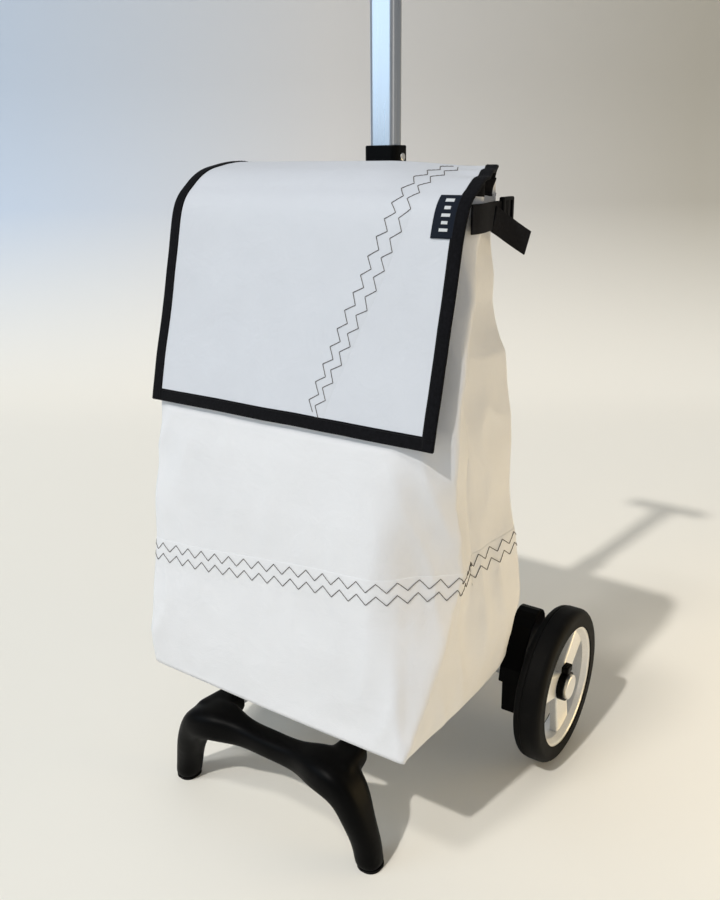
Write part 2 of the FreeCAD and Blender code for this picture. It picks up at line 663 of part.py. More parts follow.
def side_strap():
    """Webbing across the folded side of the bag, from under the flap to the buckle."""
    return box((strap_x(), -56.0, STRAP_Z - STRAP_H / 2),
               (strap_x() + STRAP_T, BUCKLE_Y[0] - 0.5, STRAP_Z + STRAP_H / 2))


def strap_buckle():
    """Ladder-lock buckle: a frame with two slots and a middle bar."""
    frame = box((strap_x(), BUCKLE_Y[0], STRAP_Z - BUCKLE_H / 2),
                (strap_x() + BUCKLE_T, BUCKLE_Y[1], STRAP_Z + BUCKLE_H / 2))
    frame = frame.makeFillet(1.5, frame.Edges)
    length = BUCKLE_Y[1] - BUCKLE_Y[0]
    for share in (0.3, 0.7):
        middle = BUCKLE_Y[0] + share * length
        frame = frame.cut(box((strap_x() - 1, middle - 2.4, STRAP_Z - BUCKLE_H / 2 + 3.0),
                              (strap_x() + BUCKLE_T + 1, middle + 2.4, STRAP_Z + BUCKLE_H / 2 - 3.0)))
    return frame


def strap_tail():
    """Loose end of the webbing, square cut, hanging out and back from the buckle."""
    tail = box((0, 0, -STRAP_H / 2), (STRAP_T, TAIL_L, STRAP_H / 2))
    tail.rotate(Vector(0, 0, 0), Vector(1, 0, 0), -28.0)
    tail.rotate(Vector(0, 0, 0), Vector(0, 0, 1), -24.0)
    tail.translate(Vector(strap_x() + BUCKLE_T + 0.4, BUCKLE_Y[0] + 4.0, STRAP_Z - 5.0))
    return tail.cut(strap_buckle())


def mast_strap(z):
    """Loop of webbing that holds the back of the bag to the outer mast tube."""
    low, high = z - MAST_STRAP_H / 2, z + MAST_STRAP_H / 2
    outer = upright_bar(OUTER_W + 3.6, OUTER_D + 3.6, MAST_Y, low, high, TUBE_CORNER + 1.5)
    return outer.cut(upright_bar(OUTER_W + 0.6, OUTER_D + 0.6, MAST_Y, low - 1, high + 1, TUBE_CORNER))


# ---- build ----
export_pair("tyre", tyre())
export_pair("rim", rim())
export_pair("wheel_bush", wheel_bush())
export_pair("hub", hub())
export_pair("hub_cap", hub_cap())
export_pair("release_clip", release_clip())

export_pair("wheel_bracket", wheel_bracket())
export("axle_rod", rod_x(AXLE_R, -AXLE_END_X, AXLE_END_X, AXLE_Y, AXLE_Z))
export("axle_tube", axle_tube())
export("axle_washers", axle_washers())
export_pair("hinge_block", hinge_block())
export_pair("pivot_pin", pivot_pin())
export("mast_socket", mast_socket())

export_pair("arm_tube", arm_tube())
export_pair("arm_eye", arm_eye())
export("front_foot", front_foot())
export("foot_screws", foot_screws())
export_pair("foot_pad", foot_pad())

export("mast_outer_tube", upright_tube(OUTER_W, OUTER_D, TUBE_WALL, MAST_Y, MAST_BASE_Z,
                                       OUTER_TOP_Z - 9.0, TUBE_CORNER))
export("mast_collar", mast_collar())
export("lock_button", lock_button())
export("mast_inner_tube", upright_tube(INNER_W, INNER_D, TUBE_WALL, MAST_Y, INNER_BASE_Z,
                                       INNER_TOP_Z, TUBE_CORNER))
export("mast_guide", upright_bar(INNER_W + 0.5, INNER_D + 0.5, MAST_Y, INNER_BASE_Z - GUIDE_H,
                                 INNER_BASE_Z, TUBE_CORNER))
export("handle_socket", handle_socket())
export("handle_core", handle_core())
export_pair("handle_grip", handle_grip())
export_pair("handle_end_cap", handle_end_cap())
export("handle_screws", handle_screws())

export("bag_body", bag_body())
export("bag_hem", bag_hem())
export("flap_panel", flap_panel())
export("flap_binding", flap_binding())
export("woven_tab", woven_tab())
export_pair("side_strap", side_strap())
export_pair("strap_buckle", strap_buckle())
export_pair("strap_tail", strap_tail())
for place, height in MAST_STRAP_Z.items():
    export("mast_strap_" + place, mast_strap(height))
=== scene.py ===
import json
import math

import bmesh
import bpy
import numpy as np
from mathutils import Matrix, Vector, noise


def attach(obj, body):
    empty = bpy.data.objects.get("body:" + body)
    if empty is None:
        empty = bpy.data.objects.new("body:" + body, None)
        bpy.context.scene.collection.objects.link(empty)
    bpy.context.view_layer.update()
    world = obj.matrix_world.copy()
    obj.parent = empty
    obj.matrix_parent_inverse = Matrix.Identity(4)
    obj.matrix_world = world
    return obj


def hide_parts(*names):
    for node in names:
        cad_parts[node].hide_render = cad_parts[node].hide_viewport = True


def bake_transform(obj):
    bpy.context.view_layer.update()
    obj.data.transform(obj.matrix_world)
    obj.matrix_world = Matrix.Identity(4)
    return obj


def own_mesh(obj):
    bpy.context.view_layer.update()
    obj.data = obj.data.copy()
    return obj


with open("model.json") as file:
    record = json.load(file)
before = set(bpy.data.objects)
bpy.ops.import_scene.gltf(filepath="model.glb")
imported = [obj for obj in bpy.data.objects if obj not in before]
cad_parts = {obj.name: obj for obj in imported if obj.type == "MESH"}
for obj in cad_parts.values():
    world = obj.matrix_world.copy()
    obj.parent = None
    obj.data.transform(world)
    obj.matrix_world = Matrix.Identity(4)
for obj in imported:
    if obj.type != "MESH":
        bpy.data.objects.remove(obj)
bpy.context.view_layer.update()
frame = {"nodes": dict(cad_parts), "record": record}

# All lengths in metres. X runs to the right, the front of the bag faces -Y, +Z is up.
MM = 0.001
NODES = frame["nodes"]
SIDES = {"left": -1.0, "right": 1.0}


# ---------------------------------------------------------------- materials
class Shader:
    """A Principled material and short calls that add the nodes it needs."""

    def __init__(self, name, color, roughness, metallic=0.0, **sockets):
        self.material = bpy.data.materials.new(name)
        self.material.use_nodes = True
        self.tree = self.material.node_tree
        self.bsdf = self.tree.nodes["Principled BSDF"]
        self.set("Base Color", (*color, 1.0))
        self.set("Roughness", roughness)
        self.set("Metallic", metallic)
        for socket, value in sockets.items():
            self.set(socket.replace("_", " "), value)
        self.coords = self.node("ShaderNodeTexCoord").outputs["Object"]
        self.height = None

    def set(self, socket, value):
        self.bsdf.inputs[socket].default_value = value

    def node(self, kind, **settings):
        made = self.tree.nodes.new(kind)
        for key, value in settings.items():
            if hasattr(made, key):
                setattr(made, key, value)
            else:
                made.inputs[key].default_value = value
        return made

    def link(self, source, target):
        self.tree.links.new(source, target)

    def stretched(self, scale, turn=(0.0, 0.0, 0.0)):
        mapping = self.node("ShaderNodeMapping")
        mapping.inputs["Scale"].default_value = scale
        mapping.inputs["Rotation"].default_value = turn
        self.link(self.coords, mapping.inputs["Vector"])
        return mapping.outputs["Vector"]

    def noise(self, scale, detail=4.0, rough=0.5, vector=None, distortion=0.0):
        made = self.node("ShaderNodeTexNoise", Scale=scale, Detail=detail, Roughness=rough,
                         Distortion=distortion)
        self.link(vector or self.coords, made.inputs["Vector"])
        return made.outputs["Fac"]

    def bands(self, scale, direction, profile="SIN", vector=None, distortion=0.0):
        made = self.node("ShaderNodeTexWave", bands_direction=direction, wave_profile=profile,
                         Scale=scale, Distortion=distortion)
        self.link(vector or self.coords, made.inputs["Vector"])
        return made.outputs["Fac"]

    def ramp(self, fac, stops):
        made = self.node("ShaderNodeValToRGB")
        ramp = made.color_ramp
        while len(ramp.elements) < len(stops):
            ramp.elements.new(0.5)
        for element, (place, color) in zip(ramp.elements, stops):
            element.position = place
            element.color = (*color, 1.0)
        self.link(fac, made.inputs["Fac"])
        return made.outputs["Color"]

    def math(self, operation, a, b):
        made = self.node("ShaderNodeMath", operation=operation)
        for index, value in enumerate((a, b)):
            if isinstance(value, (int, float)):
                made.inputs[index].default_value = value
            else:
                self.link(value, made.inputs[index])
        return made.outputs["Value"]

    def spread(self, fac, low, high):
        """A value that runs from low to high as fac runs from 0 to 1."""
        made = self.node("ShaderNodeMapRange")
        made.inputs["To Min"].default_value = low
        made.inputs["To Max"].default_value = high
        self.link(fac, made.inputs["Value"])
        return made.outputs["Result"]

    def color(self, output):
        self.link(output, self.bsdf.inputs["Base Color"])

    def rough(self, output):
        self.link(output, self.bsdf.inputs["Roughness"])

    def add_height(self, output, depth):
        """Adds a relief of that depth in metres to the bump."""
        term = self.math("MULTIPLY", output, depth)
        self.height = term if self.height is None else self.math("ADD", self.height, term)

    def done(self, strength=1.0):
        if self.height is not None:
            bump = self.node("ShaderNodeBump", Strength=strength, Distance=1.0)
            self.link(self.height, bump.inputs["Height"])
            self.link(bump.outputs["Normal"], self.bsdf.inputs["Normal"])
        return self.material


def sailcloth_material(name, color):
    s = Shader(name, color, 0.5, Sheen_Weight=0.08, Sheen_Roughness=0.5, Specular_IOR_Level=0.3)
    mottle = s.noise(9.0, 5.0, 0.6)
    s.color(s.ramp(mottle, [(0.3, tuple(0.955 * c for c in color)), (0.55, color),
                            (0.8, tuple(0.97 * c for c in color))]))
    s.rough(s.spread(s.noise(35.0, 3.0), 0.42, 0.62))
    s.add_height(s.bands(900.0, "X"), 0.00004)
    s.add_height(s.bands(900.0, "Z"), 0.00004)
    s.add_height(s.noise(28.0, 4.0, 0.55, distortion=0.6), 0.0016)
    s.add_height(s.noise(120.0, 3.0, 0.5), 0.00018)
    return s.done(0.8)


def woven_black_material(name, rib_scale, tint=(0.0035, 0.0035, 0.0045)):
    s = Shader(name, tint, 0.8, Sheen_Weight=0.02, Sheen_Roughness=0.5, Specular_IOR_Level=0.07)
    lint = s.noise(420.0, 3.0)
    pale = tuple(2.2 * c for c in tint)
    s.color(s.ramp(lint, [(0.35, tint), (0.75, pale)]))
    s.add_height(s.bands(rib_scale, "DIAGONAL"), 0.00012)
    s.add_height(s.noise(900.0, 2.0), 0.00008)
    return s.done()


def moulding_material(name, color, roughness, grain):
    s = Shader(name, color, roughness, Specular_IOR_Level=0.05)
    cloud = s.noise(14.0, 4.0)
    pale = tuple(1.5 * c + 0.001 for c in color)
    s.color(s.ramp(cloud, [(0.3, color), (0.8, pale)]))
    s.rough(s.spread(s.noise(60.0, 4.0), roughness - 0.06, roughness + 0.08))
    s.add_height(s.noise(1400.0, 2.0, 0.5), grain)
    return s.done()


def tyre_material():
    s = Shader("tyre_rubber", (0.003, 0.003, 0.003), 0.55, Specular_IOR_Level=0.09)
    dust = s.noise(45.0, 6.0, 0.65)
    s.color(s.ramp(dust, [(0.35, (0.002, 0.002, 0.002)), (0.62, (0.0036, 0.0035, 0.0033)),
                          (0.9, (0.010, 0.0095, 0.009))]))
    s.rough(s.spread(dust, 0.5, 0.78))
    s.add_height(s.noise(700.0, 3.0), 0.00006)
    return s.done()


def rim_material():
    s = Shader("silver_rim", (0.82, 0.81, 0.79), 0.34, 0.3, Coat_Weight=0.35, Coat_Roughness=0.18)
    fleck = s.noise(900.0, 2.0)
    s.color(s.ramp(fleck, [(0.3, (0.76, 0.755, 0.74)), (0.7, (0.86, 0.855, 0.84))]))
    s.rough(s.spread(s.noise(30.0, 4.0), 0.26, 0.42))
    s.add_height(s.noise(500.0, 2.0), 0.00002)
    return s.done()


def brushed_material(name, color, roughness, lengthwise):
    """Metal with fine drawing lines along the axis that lengthwise squeezes."""
    s = Shader(name, color, roughness, 1.0)
    lines = s.noise(260.0, 3.0, 0.6, s.stretched(lengthwise))
    s.rough(s.spread(lines, roughness - 0.09, roughness + 0.12))
    s.color(s.ramp(lines, [(0.25, tuple(0.9 * c for c in color)), (0.75, color)]))
    s.add_height(lines, 0.000015)
    return s.done()


def nylon_material():
    s = Shader("bush_nylon", (0.55, 0.54, 0.50), 0.5)
    s.add_height(s.noise(500.0, 2.0), 0.00003)
    return s.done()


def thread_material(name, color):
    s = Shader(name, color, 0.75, Specular_IOR_Level=0.2)
    s.add_height(s.bands(1600.0, "DIAGONAL"), 0.00006)
    return s.done()


def tab_material(name, color):
    s = Shader(name, color, 0.65, Specular_IOR_Level=0.2)
    s.add_height(s.bands(1500.0, "X"), 0.00005)
    s.add_height(s.bands(1500.0, "Z"), 0.00005)
    return s.done()


MATERIALS = {
    "sailcloth": sailcloth_material("sailcloth", (0.770, 0.770, 0.785)),
    "flap_sailcloth": sailcloth_material("flap_sailcloth", (0.640, 0.660, 0.705)),
    "black_binding": woven_black_material("black_binding", 700.0),
    "webbing": woven_black_material("webbing", 420.0, (0.0045, 0.0045, 0.006)),
    "black_moulding": moulding_material("black_moulding", (0.0014, 0.0014, 0.0014), 0.40, 0.00004),
    "buckle_plastic": moulding_material("buckle_plastic", (0.004, 0.004, 0.0045), 0.34, 0.00002),
    "soft_rubber": moulding_material("soft_rubber", (0.006, 0.006, 0.006), 0.66, 0.00008),
    "tyre_rubber": tyre_material(),
    "silver_rim": rim_material(),
    "aluminium": brushed_material("aluminium", (0.60, 0.62, 0.65), 0.28, (1.0, 1.0, 0.02)),
    "steel": brushed_material("steel", (0.55, 0.55, 0.56), 0.34, (0.03, 1.0, 1.0)),
    "polished_cap": brushed_material("polished_cap", (0.86, 0.84, 0.80), 0.34, (1.0, 1.0, 1.0)),
    "bush_nylon": nylon_material(),
    "thread": thread_material("seam_thread", (0.12, 0.11, 0.10)),
    "black_thread": thread_material("black_thread", (0.012, 0.012, 0.013)),
    "tab_weave": tab_material("tab_weave", (0.004, 0.008, 0.018)),
    "pale_weave": tab_material("pale_weave", (0.70, 0.72, 0.74)),
}


def dress_cad_nodes():
    """Every carried-over CAD node takes the finish of its slot in the record."""
    for entry in frame["record"]["subparts"]:
        mesh = NODES[entry["node"]].data
        mesh.materials.clear()
        mesh.materials.append(MATERIALS[entry["material_slot"]])
        mesh.set_sharp_from_angle(angle=math.radians(32.0))


# ---------------------------------------------------------------- mesh helpers
def new_mesh(name, verts, faces, material):
    mesh = bpy.data.meshes.new(name)
    mesh.from_pydata([tuple(v) for v in verts], [], faces)
    mesh.update()
    mesh.polygons.foreach_set("use_smooth", [True] * len(mesh.polygons))
    mesh.materials.append(MATERIALS[material])
    piece = bpy.data.objects.new(name, mesh)
    bpy.context.scene.collection.objects.link(piece)
    return piece


def grid_faces(rows, columns, closed=False):
    """Quads of a grid of rows by columns; closed joins the last column to the first."""
    faces = []
    for r in range(rows - 1):
        for c in range(columns if closed else columns - 1):
            d = (c + 1) % columns
            faces.append((r * columns + c, (r + 1) * columns + c, (r + 1) * columns + d,
                          r * columns + d))
    return faces


def smooth_curve(points, count):
    """count points along a Catmull-Rom curve through points, evenly spaced by length."""
    points = np.asarray(points, float)
    padded = np.vstack([2 * points[0] - points[1], points, 2 * points[-1] - points[-2]])
    dense = []
    for i in range(len(points) - 1):
        p0, p1, p2, p3 = padded[i:i + 4]
        for t in np.linspace(0, 1, 24, endpoint=False):
            dense.append(0.5 * (2 * p1 + (p2 - p0) * t + (2 * p0 - 5 * p1 + 4 * p2 - p3) * t ** 2
                                + (3 * p1 - p0 - 3 * p2 + p3) * t ** 3))
    dense.append(points[-1])
    return evenly(np.array(dense), count)


def evenly(points, count):
    """The same polyline with count points, evenly spaced by length."""
    walked = np.concatenate([[0], np.cumsum(np.linalg.norm(np.diff(points, axis=0), axis=1))])
    wanted = np.linspace(0, walked[-1], count)
    return np.stack([np.interp(wanted, walked, points[:, k]) for k in range(points.shape[1])], 1)


def unit(vectors):
    return vectors / np.maximum(np.linalg.norm(vectors, axis=-1, keepdims=True), 1e-12)


def sweep(name, centres, across, up, profile, material, closed=False):
    """Carries a closed profile of (across, up) offsets in mm along a path."""
    profile = np.asarray(profile, float) * MM
    rings = (centres[:, None, :] + across[:, None, :] * profile[None, :, 0, None]
             + up[:, None, :] * profile[None, :, 1, None])
    count, size = len(centres), len(profile)
    faces = []
    for r in range(count if closed else count - 1):
        q = (r + 1) % count
        for c in range(size):
            d = (c + 1) % size
            faces.append((r * size + c, q * size + c, q * size + d, r * size + d))
    if not closed:
        faces.append(tuple(range(size)))
        faces.append(tuple((count - 1) * size + c for c in reversed(range(size))))
    piece = new_mesh(name, rings.reshape(-1, 3), faces, material)
    mend_normals(piece)
    return piece


def mend_normals(piece):
    """Turns every face outwards."""
    work = bmesh.new()
    work.from_mesh(piece.data)
    bmesh.ops.recalc_face_normals(work, faces=work.faces[:])
    work.to_mesh(piece.data)
    work.free()


def round_profile(radius, sides=6):
    turns = [2 * math.pi * k / sides for k in range(sides)]
    return [(radius * math.cos(t), radius * math.sin(t)) for t in turns]


def tape_profile(width, thickness):
    """Flat webbing with slightly rounded edges."""
    w, t = width / 2, thickness / 2
    return [(-w, 0), (-w + 0.4 * t, 0.75 * t), (-w + 1.2 * t, t), (0, t), (w - 1.2 * t, t),
            (w - 0.4 * t, 0.75 * t), (w, 0), (w - 0.4 * t, -0.75 * t), (w - 1.2 * t, -t), (0, -t),
            (-w + 1.2 * t, -t), (-w + 0.4 * t, -0.75 * t)]


def path_frames(points, up):
    """Across and up directions along a path, given a rough up for each point."""
    ahead = unit(np.gradient(points, axis=0))
    across = unit(np.cross(ahead, up))
    return across, unit(np.cross(across, ahead))


def tube(name, points, normals, radius, material):
    across, up = path_frames(points, normals)
    return sweep(name, points, across, up, round_profile(radius), material)


def join(name, pieces):
    """One object from several of the same material."""
    with bpy.context.temp_override(active_object=pieces[0], selected_editable_objects=pieces,
                                   object=pieces[0], selected_objects=pieces):
        bpy.ops.object.join()
    pieces[0].name = name
    return pieces[0]


def apply_modifiers(piece):
    bpy.context.view_layer.update()
    ready = bpy.data.meshes.new_from_object(
        piece.evaluated_get(bpy.context.evaluated_depsgraph_get()))
    piece.modifiers.clear()
    old = piece.data
    piece.data = ready
    bpy.data.meshes.remove(old)


def thicken(piece, thickness):
    """Gives a cloth skin its thickness, on the inner side."""
    solid = piece.modifiers.new("thickness", "SOLIDIFY")
    solid.thickness = thickness
    solid.offset = -1.0
    apply_modifiers(piece)


def crumple(point, seed, size):
    """Smooth noise from -1 to 1 at that feature size, in metres."""
    return noise.noise(Vector(point) / size + Vector((seed, 2.3 * seed, 0.7 * seed)))


def ridged(point, seed, size):
    """Sharp-crested noise, like creases in stiff cloth."""
    return 1.0 - 2.0 * abs(crumple(point, seed, size))


class Skin:
    """A grid of points that thread, tape and edging can be laid on."""

    def __init__(self, grid, closed):
        self.grid = grid
        self.closed = closed
        along = np.roll(grid, -1, 1) - np.roll(grid, 1, 1) if closed else np.gradient(grid, axis=1)
        down = np.gradient(grid, axis=0)
        self.normals = unit(np.cross(along, down) if closed else np.cross(down, along))

    def blend(self, field, rows, columns):
        last_row, count = field.shape[0] - 1, field.shape[1]
        rows = np.clip(rows, 0, last_row - 1e-6)
        columns = np.mod(columns, count) if self.closed else np.clip(columns, 0, count - 1 - 1e-6)
        r = np.floor(rows).astype(int)
        c = np.floor(columns).astype(int)
        fr = (rows - r)[:, None]
        fc = (columns - c)[:, None]
        d = (c + 1) % count
        return ((field[r, c] * (1 - fc) + field[r, d] * fc) * (1 - fr)
                + (field[r + 1, c] * (1 - fc) + field[r + 1, d] * fc) * fr)

    def at(self, rows, columns, lift=0.0):
        normals = unit(self.blend(self.normals, rows, columns))
        lift = np.asarray(lift, float).reshape(-1, 1) * MM
        return self.blend(self.grid, rows, columns) + normals * lift, normals


def beside(skin, rows, columns, distance, closed=False):
    """Rows and columns of the line that runs distance (mm) to the left of a line on the skin."""
    points, normals = skin.at(rows, columns)
    if closed:
        ahead = np.roll(points, -1, 0) - np.roll(points, 1, 0)
    else:
        ahead = np.gradient(points, axis=0)
    across = unit(np.cross(normals, unit(ahead))) * (np.asarray(distance).reshape(-1, 1) * MM)
    row_step = skin.at(rows + 0.5, columns)[0] - skin.at(rows - 0.5, columns)[0]
    column_step = skin.at(rows, columns + 0.5)[0] - skin.at(rows, columns - 0.5)[0]
    return (rows + np.sum(across * row_step, 1) / np.sum(row_step ** 2, 1),
            columns + np.sum(across * column_step, 1) / np.sum(column_step ** 2, 1))


def zigzag_row(skin, rows, columns, swing, pitch, shift, start=0.0):
    """Three-step zigzag stitching beside a guide line given in grid rows and columns.

    The line is moved sideways by shift and swings by swing, both in mm; pitch is one full zigzag
    and start is how far along the guide the first point lies.
    """
    guide, _ = skin.at(rows, columns)
    walked = np.concatenate([[0], np.cumsum(np.linalg.norm(np.diff(guide, axis=0), axis=1))]) / MM
    legs = int((walked[-1] - start) / (pitch / 2))
    samples = np.linspace(0, legs, legs * 15 + 1)
    place = start + samples / legs * (walked[-1] - start)
    shift = np.interp(place, walked, np.broadcast_to(shift, walked.shape))
    leg = np.floor(samples)
    share = samples - leg
    side = np.where(leg % 2 == 0, 2 * share - 1, 1 - 2 * share)
    stitch = np.abs(np.sin(3 * math.pi * share))
    r = np.interp(place, walked, rows)
    c = np.interp(place, walked, columns)
    points, normals = skin.at(*beside(skin, r, c, shift + swing * side))
    return points, normals, stitch


def band_on_skin(name, skin, rows, columns, profile, material, closed=False):
    """A flat band that follows the skin, from a profile of (sideways, lift) offsets in mm."""
    rings = []
    for sideways, lift in profile:
        r, c = beside(skin, rows, columns, np.full(len(rows), sideways), closed)
        rings.append(skin.at(r, c, np.full(len(rows), lift))[0])
    rings = np.stack(rings, 1)
    count, size = rings.shape[:2]
    faces = []
    for r in range(count if closed else count - 1):
        q = (r + 1) % count
        for c in range(size - 1):
            faces.append((r * size + c, q * size + c, q * size + c + 1, r * size + c + 1))
    return new_mesh(name, rings.reshape(-1, 3), faces, material)


def straight_stitches(name, points, normals, length, radius, material):
    """A row of single stitches that rise out of the cloth between their holes."""
    walked = np.concatenate([[0], np.cumsum(np.linalg.norm(np.diff(points, axis=0), axis=1))]) / MM
    count = max(1, int(walked[-1] / length))
    samples = np.linspace(0, count, count * 5 + 1)
    place = samples / count * walked[-1]
    rise = np.abs(np.sin(math.pi * samples))
    line = np.stack([np.interp(place, walked, points[:, k]) for k in range(3)], 1)
    up = unit(np.stack([np.interp(place, walked, normals[:, k]) for k in range(3)], 1))
    line = line + up * ((rise - 0.45) * radius * 1.3 * MM)[:, None]
    return tube(name, line, up, radius, material)


# ---------------------------------------------------------------- bag body
# Right half outline of the bag at each height, in millimetres:
# (z, front y, bend x, corner x, corner y, fold x, fold y, bulge x, bulge y, rear x, rear y)
BAG_LEVELS = [
    (131, -163, 146, 157, -160, 158, -90, 160, -20, 157, 32),
    (147, -161, 143, 160, -153, 160, -87, 165, -14, 163, 33),
    (175, -159, 136, 162, -139, 163, -80, 170, -8, 169, 34),
    (213, -155, 127, 165, -121, 163, -70, 174, -2, 172, 35),
    (250, -150, 118, 167, -101, 161, -58, 173, 0, 171, 35),
    (290, -145, 112, 168, -90, 155, -49, 171, 6, 169, 35),
    (330, -140, 112, 168, -94, 151, -46, 167, 8, 165, 36),
    (380, -131, 114, 168, -101, 148, -46, 163, 12, 160, 36),
    (413, -123, 116, 167, -100, 147, -45, 158, 14, 156, 36),
    (449, -112, 119, 165, -92, 143, -43, 152, 17, 149, 36),
    (491, -100, 123, 163, -81, 136, -40, 142, 15, 140, 35),
    (514, -93, 126, 162, -76, 132, -39, 137, 14, 136, 34),
    (545, -86, 130, 160, -66, 130, -36, 135, 11, 135, 33),
    (577, -76, 134, 157, -55, 127, -32, 135, 7, 135, 29),
    (600, -64, 134, 153, -45, 128, -28, 138, 4, 139, 26),
    (622, -43, 132, 147, -30, 131, -17, 142, 4, 143, 16),
]
BAG_COLUMNS = 300
BAG_ROWS = 150
BASE_RINGS = 26
CLOTH = 1.1
# How square the front corners stand: the right one is folded in, the left one nearly a box corner
RIGHT_SQUARENESS, LEFT_SQUARENESS = 0.0, 0.95
BAG_TOP, BAG_BASE = BAG_LEVELS[-1][0], BAG_LEVELS[0][0]


def half_ring(sizes, squareness):
    """Half outline from the rear middle to the front middle, for x > 0.

    squareness moves the front corner towards a plain box corner.
    """
    front, bend_x, cx, cy, fx, fy, bx, by, rx, ry = sizes
    cy = cy + (front + 16 - cy) * squareness
    bend_x = bend_x + (148 - bend_x) * squareness
    points = [(0, ry + 1), (0.5 * rx, ry + 1), (rx - 14, ry), (rx, ry - 10), (bx, by),
              (fx + 0.10 * (bx - fx), fy + 0.10 * (by - fy)), (fx, fy),
              (fx + 0.09 * (cx - fx), fy + 0.09 * (cy - fy)), (cx - 1.5, cy + 9), (cx, cy),
              (0.45 * cx + 0.55 * bend_x + 4, 0.42 * cy + 0.58 * front),
              (bend_x, front), (0.5 * bend_x, front - 1.5), (0, front - 2)]
    return smooth_curve(points, BAG_COLUMNS // 2 + 1)


def bag_ring(z):
    """Closed outline of the bag at height z (mm), from the rear middle round the right side."""
    levels = np.array(BAG_LEVELS, float)
    sizes = [np.interp(z, levels[:, 0], levels[:, k]) for k in range(1, levels.shape[1])]
    right = half_ring(sizes, RIGHT_SQUARENESS)
    left = half_ring(sizes, LEFT_SQUARENESS)[::-1][1:-1] * np.array([-1.0, 1.0])
    return np.vstack([right, left])


def bag_grid():
    """Bag skin as rows of rings, from the mouth down the walls and in across the base."""
    rows = []
    for z in np.linspace(BAG_TOP, BAG_BASE, BAG_ROWS):
        ring = bag_ring(z)
        rows.append(np.column_stack([ring, np.full(len(ring), z)]))
    edge = rows[-1]
    middle = edge.mean(0)
    for k in range(1, BASE_RINGS + 1):
        share = 1.0 - k / (BASE_RINGS + 0.6)
        ring = middle + (edge - middle) * share
        ring[:, 2] = BAG_BASE - 7.0 * (1.0 - share ** 2) - 0.8
        rows.append(ring)
    return np.array(rows) * MM


def wrinkle_bag(grid):
    """Shallow dents and creases in the stiff cloth, strongest on the folded sides."""
    normals = Skin(grid, True).normals
    moved = grid.copy()
    for r in range(grid.shape[0]):
        for c in range(grid.shape[1]):
            p = grid[r, c]
            side = min(1.0, max(0.0, (abs(p[0]) - 0.10) / 0.05))
            wall_painted_light = min(1.0, max(0.0, (p[2] - 0.128) / 0.02))
            mouth = min(1.0, max(0.15, (0.622 - p[2]) / 0.05))
            wide = 0.0022 * crumple(p, 3.1, 0.13)
            dent = (0.0010 + 0.0034 * side) * crumple((p[0], p[1], 0.7 * p[2]), 7.7, 0.055)
            crease = (0.0006 + 0.0022 * side) * ridged((p[0], p[1], 0.5 * p[2]), 1.9, 0.035)
            q = p + normals[r, c] * wall_painted_light * mouth * (wide + dent + crease)
            if p[2] > 0.405 and p[1] < -0.02:
                q[1] = max(q[1], flap_inner_y(q[2]) + 0.0012)
            q[1] = min(q[1], 0.0385)
            moved[r, c] = q
    return moved


def bag_rows(z):
    """Grid row of the bag wall at a height in mm."""
    return (BAG_TOP - np.asarray(z, float)) / (BAG_TOP - BAG_BASE) * (BAG_ROWS - 1)


def bag_column(skin, x, y, z):
    """Grid column of the bag wall nearest to a point in mm."""
    ring = skin.grid[int(round(float(bag_rows(z))))]
    return int(np.argmin((ring[:, 0] - x * MM) ** 2 + (ring[:, 1] - y * MM) ** 2))


def squash_with_fold(piece):
    """Hangs the piece on the frame body and gives it a mesh of its own."""
    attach(piece, "frame")
    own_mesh(piece)


def build_bag():
    grid = wrinkle_bag(bag_grid())
    rows, columns = grid.shape[:2]
    faces = [face[::-1] for face in grid_faces(rows, columns, closed=True)]
    faces.append(tuple((rows - 1) * columns + c for c in reversed(range(columns))))
    piece = new_mesh("bag_cloth", grid.reshape(-1, 3), faces, "sailcloth")
    thicken(piece, CLOTH * MM)
    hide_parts("bag_body")
    squash_with_fold(piece)
    return Skin(grid[:BAG_ROWS], True)


# Guide line of the joining seam round the bag, (x, y, z) in millimetres, from the left rear corner
SEAM_POINTS = [(-168, 34, 260), (-172, 0, 258), (-161, -55, 254), (-168, -95, 250),
               (-150, -130, 249), (-100, -150, 254), (33, -150, 268), (100, -150, 273),
               (142, -125, 276), (167, -90, 271), (155, -48, 271), (172, 4, 277), (169, 34, 280)]
SEAM_SHIFTS = (0.0, -11.5)
SEAM_SWING, SEAM_PITCH = 4.3, 18.6


def seam_guide(skin):
    """Rows and columns of the seam line all the way round the bag."""
    columns = [bag_column(skin, x, y, z) for x, y, z in SEAM_POINTS]
    heights = [z for _, _, z in SEAM_POINTS]
    columns = columns[::-1]
    heights = heights[::-1]
    columns.append(columns[0] + BAG_COLUMNS)
    heights.append(heights[0])
    u = np.linspace(columns[0], columns[-1], 1200)
    z = np.interp(u, columns, heights)
    kernel = np.hanning(61) / np.hanning(61).sum()
    z = np.convolve(np.concatenate([z[-31:-1], z, z[1:31]]), kernel, "valid")
    return bag_rows(z), u


def build_seam(skin):
    """Two rows of zigzag stitching and the lap of cloth they hold down, round the whole bag."""
    rows, columns = seam_guide(skin)
    threads = []
    for index, shift in enumerate(SEAM_SHIFTS):
        points, normals, stitch = zigzag_row(skin, rows, columns, SEAM_SWING, SEAM_PITCH, shift)
        points = points + normals * ((0.42 + 0.22 * stitch) * MM)[:, None]
        threads.append(tube("seam_thread_%d" % index, points, normals, 0.36, "thread"))
    threads = join("seam_threads", threads)
    lap = [(18.0, -0.4), (10.0, 0.0), (4.0, 0.22), (0.0, 0.3), (-6.0, 0.3), (-12.0, 0.3),
           (-18.2, 0.3), (-18.9, 0.2), (-19.3, -0.3)]
    band = band_on_skin("seam_lap", skin, rows[:-1], columns[:-1], lap, "sailcloth",
                        closed=True)
    for piece in (threads, band):
        squash_with_fold(piece)


